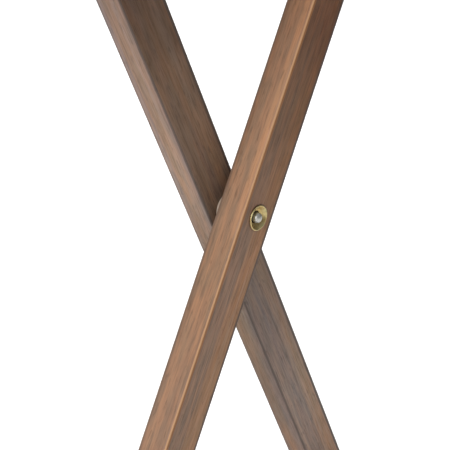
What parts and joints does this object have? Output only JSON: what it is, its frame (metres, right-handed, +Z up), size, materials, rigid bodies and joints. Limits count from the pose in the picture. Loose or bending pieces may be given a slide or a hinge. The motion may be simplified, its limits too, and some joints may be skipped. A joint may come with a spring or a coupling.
{
  "type": "folding tray table",
  "caption": "Wooden tray table on crossed legs that pivot at the middle; the lipped top tilts on one leg frame and latches on the crossbar of the other.",
  "frame": {"origin": "on the floor, under the middle of the table", "axes": "+X along the pivot axis from left to right, +Y to the back where the top is hinged, +Z up"},
  "size_m": [0.54, 0.381, 0.66],
  "materials": {
    "walnut_stained_wood": "satin stain, fine straight grain, worn lighter along the eased edges",
    "yellow_zinc": "pressed sheet, yellow passivated, slightly dull",
    "pin_steel": "domed, satin",
    "screw_steel": "zinc plated, dull",
    "spacer_nylon": "natural nylon, light grey",
    "latch_plastic": "moulded, dark brown, fine texture",
    "glide_plastic": "moulded, dark brown, worn underneath"
  },
  "bodies": {
    "outer_frame": {"outer_leg_left": "walnut_stained_wood", "outer_leg_right": "walnut_stained_wood", "outer_lower_rail": "walnut_stained_wood", "outer_upper_rail": "walnut_stained_wood", "lower_rail_screw_left": "screw_steel", "lower_rail_screw_right": "screw_steel", "upper_rail_screw_left": "screw_steel", "upper_rail_screw_right": "screw_steel", "pivot_pin_left": "pin_steel", "pivot_pin_right": "pin_steel", "pivot_outer_cup_left": "yellow_zinc", "pivot_outer_cup_right": "yellow_zinc", "pivot_spacer_left": "spacer_nylon", "pivot_spacer_right": "spacer_nylon", "hinge_spacer_left": "spacer_nylon", "hinge_spacer_right": "spacer_nylon", "hinge_inner_cup_left": "yellow_zinc", "hinge_inner_cup_right": "yellow_zinc", "outer_glide_left": "glide_plastic", "outer_glide_right": "glide_plastic"},
    "inner_frame": {"inner_leg_left": "walnut_stained_wood", "inner_leg_right": "walnut_stained_wood", "inner_rail": "walnut_stained_wood", "crossbar": "walnut_stained_wood", "inner_rail_screw_left": "screw_steel", "inner_rail_screw_right": "screw_steel", "pivot_inner_cup_left": "yellow_zinc", "pivot_inner_cup_right": "yellow_zinc", "inner_glide_left": "glide_plastic", "inner_glide_right": "glide_plastic"},
    "tray_top": {"top_panel": "walnut_stained_wood", "rim_front": "walnut_stained_wood", "rim_back": "walnut_stained_wood", "rim_left": "walnut_stained_wood", "rim_right": "walnut_stained_wood", "cleat_left": "walnut_stained_wood", "cleat_right": "walnut_stained_wood", "cleat_screw_left_front": "screw_steel", "cleat_screw_left_middle": "screw_steel", "cleat_screw_left_back": "screw_steel", "cleat_screw_right_front": "screw_steel", "cleat_screw_right_middle": "screw_steel", "cleat_screw_right_back": "screw_steel", "latch_left": "latch_plastic", "latch_right": "latch_plastic", "latch_screw_left_front": "screw_steel", "latch_screw_left_back": "screw_steel", "latch_screw_right_front": "screw_steel", "latch_screw_right_back": "screw_steel", "hinge_pin_left": "pin_steel", "hinge_pin_right": "pin_steel", "hinge_outer_cup_left": "yellow_zinc", "hinge_outer_cup_right": "yellow_zinc"}
  },
  "joints": [
    {"name": "leg_fold", "type": "hinge", "parent": "outer_frame", "child": "inner_frame", "pos_m": [0, 0, 0.322], "axis": [-1, 0, 0], "range_deg": [0, 52.5]},
    {"name": "top_tilt", "type": "hinge", "parent": "outer_frame", "child": "tray_top", "pos_m": [0, 0.15793, 0.625], "axis": [-1, 0, 0], "range_deg": [0, 117.6]}
  ],
  "couplings": [
    {"joint": "top_tilt", "follows": "leg_fold", "ratio": 2.24}
  ]
}
